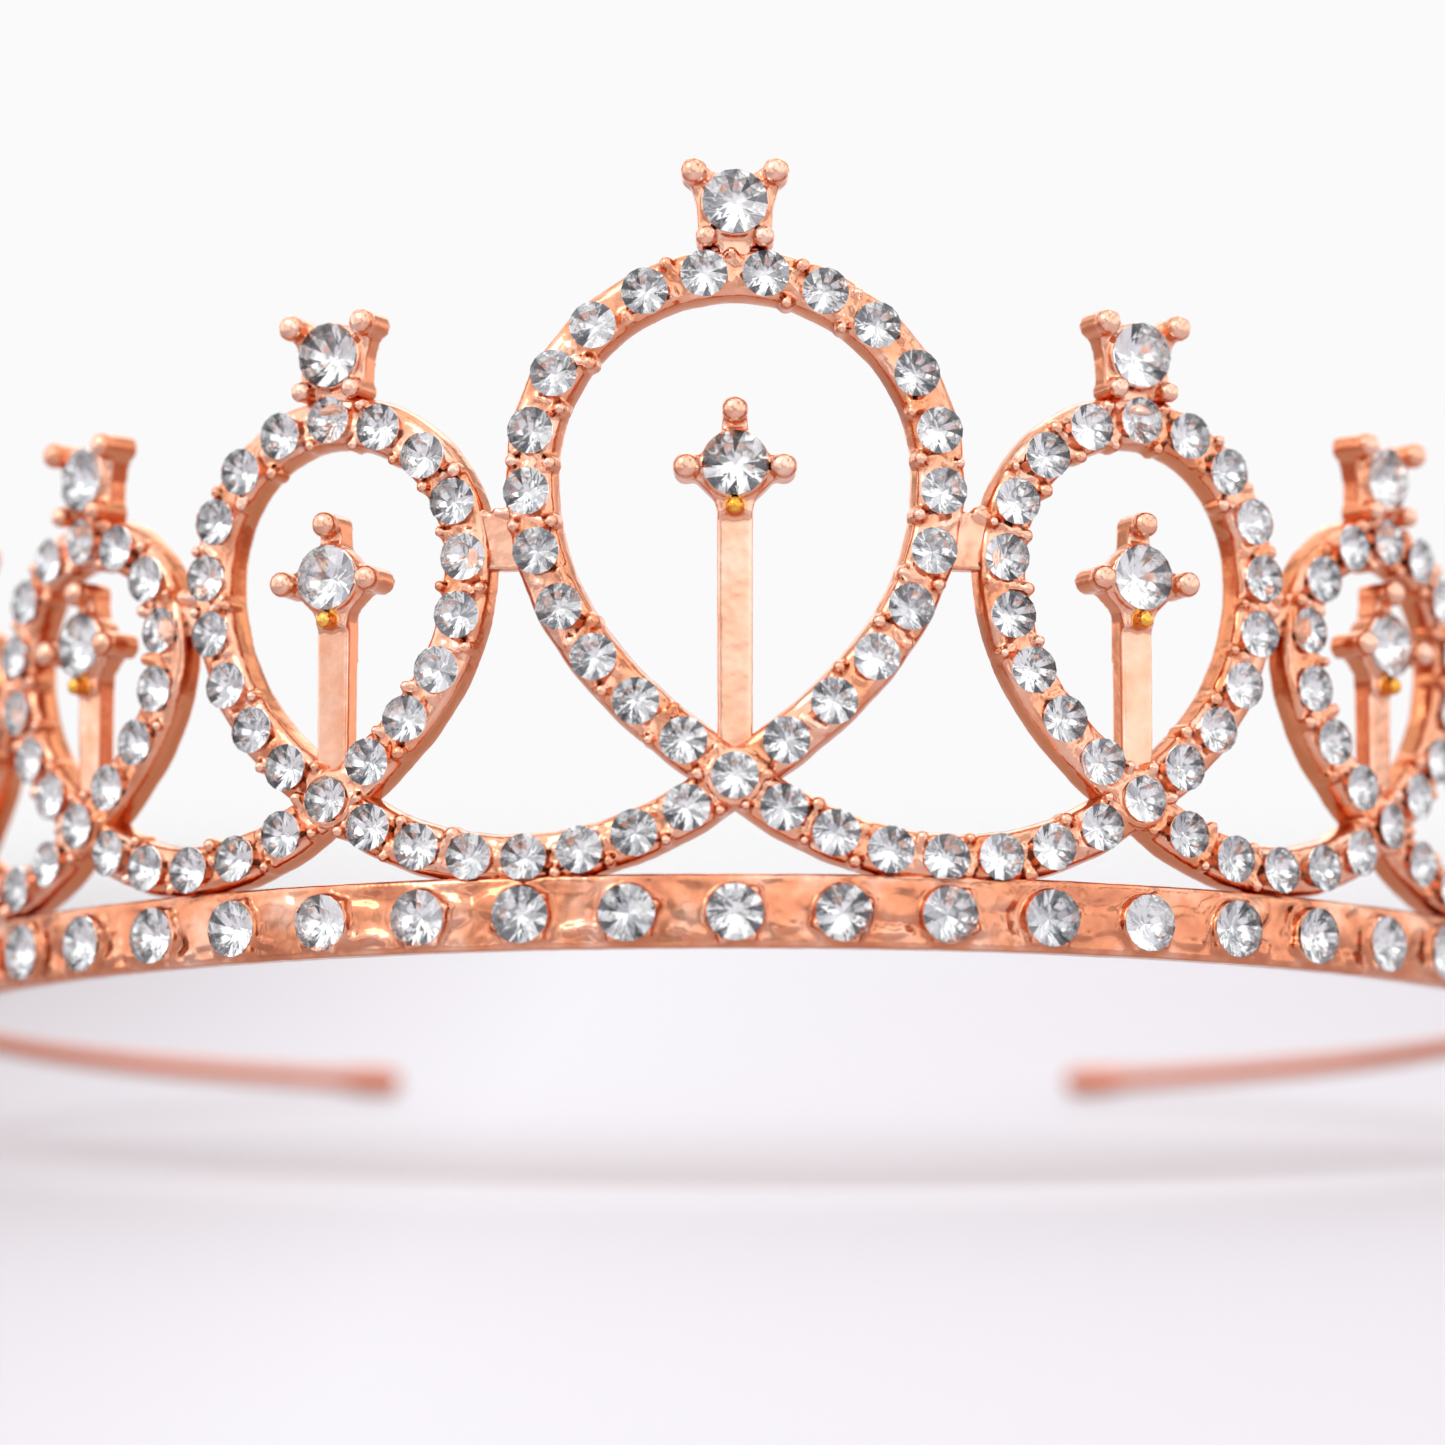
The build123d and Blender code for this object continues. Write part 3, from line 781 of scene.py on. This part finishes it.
# Solder: every other blob is a bead along the ridge, the rest are flat smears on the face
for k in range(BAND_BLOBS):
    arc = random.uniform(-1, 1) * math.radians(BAND_END - 1) * CREST_R
    ridge = k % 2 == 0
    z = random.gauss(1.25, 0.14) if ridge else random.uniform(1.6, BAND_H - 1.5)
    o = Spot(arc, z, BAND_OUT)
    size = random.uniform(0.3, 0.6) if ridge else random.uniform(1.2, 1.9)
    squash = (random.uniform(1.2, 2.6), 0.8, 0.8) if ridge else (1.5, 0.8, 0.17)
    soup.ball(o.at(0, 0, 0.05), size, squash, (o.t, o.u, o.n), 12)
cast("vis_front_band", soup, seats, "front_band", STRIP, lumps=0.06, grain=0.0, voxel=PLAIN_VOXEL)
set_stones("vis_band_stones", band_stones, "band_stones")


# ---------------------------------------------------------------- arms

for side in ("left", "right"):
    sign = 1 if side == "right" else -1
    body = f"arm_{side}"
    soup = Soup()
    rings = []
    for i in range(ARM_STEPS + 1):
        a = ARM_START + (ARM_END - ARM_START) * i / ARM_STEPS
        along = (ARM_END - a) * math.radians(1) * ARM_R
        tip = 1.0 / (1.0 + math.exp((along - ARM_TIP_LENGTH) * 2.0))
        radius = ARM_RADIUS + ARM_TIP_EXTRA * tip
        if along < ARM_TIP_ROUNDING:
            radius *= math.sqrt(max(1 - ((ARM_TIP_ROUNDING - along) / ARM_TIP_ROUNDING) ** 2, 0.02))
        root = max(0.0, 1 - (a - ARM_START) / ARM_ROOT_SPAN)
        o = Spot(sign * math.radians(a) * CREST_R, ARM_Z + ARM_ROOT_RISE * root, ARM_R)
        ring = []
        for k in range(20):
            b = 2 * math.pi * k / 20
            ring.append(o.at(0, math.sin(b) * radius * (1 + ARM_ROOT_GROWTH * root), math.cos(b) * radius))
        rings.append(ring)
    soup.rings(rings)
    o = Spot(sign * math.radians(BAND_END) * CREST_R, BAND_H / 2, ARM_R)
    for k in range(7):
        place = o.at(sign * random.uniform(-0.6, 0.9), random.uniform(-1.5, 1.5), random.uniform(-0.3, 0.3))
        soup.ball(place, random.uniform(0.9, 1.15), segments=12)
    arm = cast(f"vis_arm_{side}", soup, None, body, WIRE, lumps=0.05, grain=0.015,
               voxel=PLAIN_VOXEL, body=None)
    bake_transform(arm)


# ---------------------------------------------------------------- floor, light and camera

# Metres from here on. The tiara stands level, so the camera and the floor are pitched instead.
PITCH = math.radians(8.0)
EYE_DISTANCE = 0.500
EYE_RISE = 0.01594
EYE_SHIFT = -0.0009
FOCUS_DISTANCE = 0.508
FLOOR_HALF = 1.6
FLOOR_PLACE = (0, 0.0578, -0.0003)
LAMP_AIM = (0, -0.03, 0.02)
look = Vector((0, math.cos(PITCH), math.sin(PITCH)))
up = Vector((0, -math.sin(PITCH), math.cos(PITCH)))
front = Vector((0, -BAND_OUT * MM, 0))
eye = front - look * EYE_DISTANCE + up * EYE_RISE + Vector((EYE_SHIFT, 0, 0))
camera_data = bpy.data.cameras.new("camera")
camera_data.sensor_width = 36.0
camera_data.lens = 175.4
camera_data.clip_start = 0.01
camera_data.dof.use_dof = True
camera_data.dof.aperture_fstop = 13.0
camera = bpy.data.objects.new("camera", camera_data)
bpy.context.scene.collection.objects.link(camera)
turned = Matrix((Vector((1, 0, 0)), up, -look)).transposed().to_4x4()
camera.matrix_world = Matrix.Translation(eye) @ turned
bpy.context.scene.camera = camera
focus = bpy.data.objects.new("focus_point", None)
bpy.context.scene.collection.objects.link(focus)
focus.location = eye + look * FOCUS_DISTANCE - up * EYE_RISE
camera_data.dof.focus_object = focus

floor_mesh = bpy.data.meshes.new("floor")
corners = [(x * FLOOR_HALF, y * FLOOR_HALF, 0) for x, y in ((-1, -1), (1, -1), (1, 1), (-1, 1))]
floor_mesh.from_pydata(corners, [], [(0, 1, 2, 3)])
floor = bpy.data.objects.new("floor", floor_mesh)
bpy.context.scene.collection.objects.link(floor)
floor.matrix_world = Matrix.Translation(FLOOR_PLACE) @ Matrix.Rotation(PITCH, 4, "X")
material, ns, ls, bsdf = new_material("floor_paper")
bsdf.inputs["Roughness"].default_value = 0.7
# Painted shade: the floor is darker to the left and a little darker to the right of the part, standing in
# for soft shadows towards the corners.
coords = ns.new("ShaderNodeTexCoord")
across = ns.new("ShaderNodeSeparateXYZ")
ls.new(coords.outputs["Object"], across.inputs[0])
span = ns.new("ShaderNodeMapRange")
span.inputs["From Min"].default_value = -0.1
span.inputs["From Max"].default_value = 0.1
ls.new(across.outputs["X"], span.inputs["Value"])
painted_floor_shade = ramp(ns, ls, span.outputs["Result"], ((0.0, (0.37, 0.33, 0.355)), (0.4, (0.58, 0.56, 0.595)),
                                             (1.0, (0.49, 0.46, 0.495))))
ls.new(painted_floor_shade.outputs["Color"], bsdf.inputs["Base Color"])
# The floor fades out far from the part, and isn't there from below
length = ns.new("ShaderNodeVectorMath")
length.operation = "LENGTH"
ls.new(coords.outputs["Object"], length.inputs[0])
fade = ns.new("ShaderNodeMapRange")
fade.inputs["From Min"].default_value = 0.25
fade.inputs["From Max"].default_value = 1.2
ls.new(length.outputs["Value"], fade.inputs["Value"])
geo = ns.new("ShaderNodeNewGeometry")
hide = ns.new("ShaderNodeMath")
hide.operation = "MAXIMUM"
ls.new(fade.outputs["Result"], hide.inputs[0])
ls.new(geo.outputs["Backfacing"], hide.inputs[1])
clear = ns.new("ShaderNodeBsdfTransparent")
mix = ns.new("ShaderNodeMixShader")
ls.new(hide.outputs["Value"], mix.inputs["Fac"])
ls.new(bsdf.outputs["BSDF"], mix.inputs[1])
ls.new(clear.outputs["BSDF"], mix.inputs[2])
ls.new(mix.outputs["Shader"], ns["Material Output"].inputs["Surface"])
floor_mesh.materials.append(material)

world = bpy.data.worlds.new("studio")
bpy.context.scene.world = world
world.use_nodes = True
ns, ls = world.node_tree.nodes, world.node_tree.links
ns.clear()
out = ns.new("ShaderNodeOutputWorld")
coords = ns.new("ShaderNodeTexCoord")
split = ns.new("ShaderNodeSeparateXYZ")
ls.new(coords.outputs["Generated"], split.inputs[0])


from_below = ns.new("ShaderNodeMath")
from_below.operation = "MULTIPLY_ADD"
ls.new(split.outputs["Z"], from_below.inputs[0])
from_below.inputs[1].default_value = 0.5
from_below.inputs[2].default_value = 0.5
height = from_below.outputs["Value"]
# What the part mirrors: a bright room with darker patches. The camera itself sees a plain backdrop.
sky = ramp(ns, ls, height, ((0.0, (0.70, 0.68, 0.69)), (0.35, (1.05, 1.02, 1.03)),
                            (0.52, (1.35, 1.34, 1.35)), (0.8, (1.5, 1.5, 1.5))))
patches = ns.new("ShaderNodeTexNoise")
patches.inputs["Scale"].default_value = 2.6
patches.inputs["Detail"].default_value = 1.0
ls.new(coords.outputs["Generated"], patches.inputs["Vector"])
dark = ramp(ns, ls, patches.outputs["Fac"], ((0.38, grey(0.44)), (0.48, grey(0.98)), (0.62, grey(1.18))))
room = mixed_colour(ns, ls, 1.0, sky.outputs["Color"], dark.outputs["Color"], "MULTIPLY")
backdrop = ramp(ns, ls, height, ((0.44, (0.90, 0.87, 0.90)), (0.56, (0.96, 0.955, 0.96))))
seen = ns.new("ShaderNodeLightPath")
pick = mixed_colour(ns, ls, seen.outputs["Is Camera Ray"], room, backdrop.outputs["Color"])
shade = ns.new("ShaderNodeBackground")
ls.new(pick, shade.inputs["Color"])
ls.new(shade.outputs["Background"], out.inputs["Surface"])


def lamp(name, place, size, watts, shiny=True):
    """Rectangular lamp that looks at the part; a lamp that isn't shiny has no mirror image in the metal."""
    data = bpy.data.lights.new(name, "AREA")
    data.shape = "RECTANGLE"
    data.size, data.size_y = size
    data.energy = watts
    obj = bpy.data.objects.new(name, data)
    obj.location = place
    aim = Vector(LAMP_AIM) - Vector(place)
    obj.rotation_euler = aim.to_track_quat("-Z", "Y").to_euler()
    obj.visible_glossy = shiny
    bpy.context.scene.collection.objects.link(obj)


lamp("key", (-0.45, -0.55, 0.55), (0.35, 0.35), 1.2)
lamp("fill", (0.6, -0.35, 0.30), (0.25, 0.5), 0.8, shiny=False)
lamp("rim", (0.1, 0.6, 0.6), (0.6, 0.3), 0.7)

bpy.context.scene.view_settings.view_transform = "Standard"
bpy.context.scene.cycles.max_bounces = 16
bpy.context.scene.cycles.transmission_bounces = 12
bpy.context.scene.cycles.glossy_bounces = 8
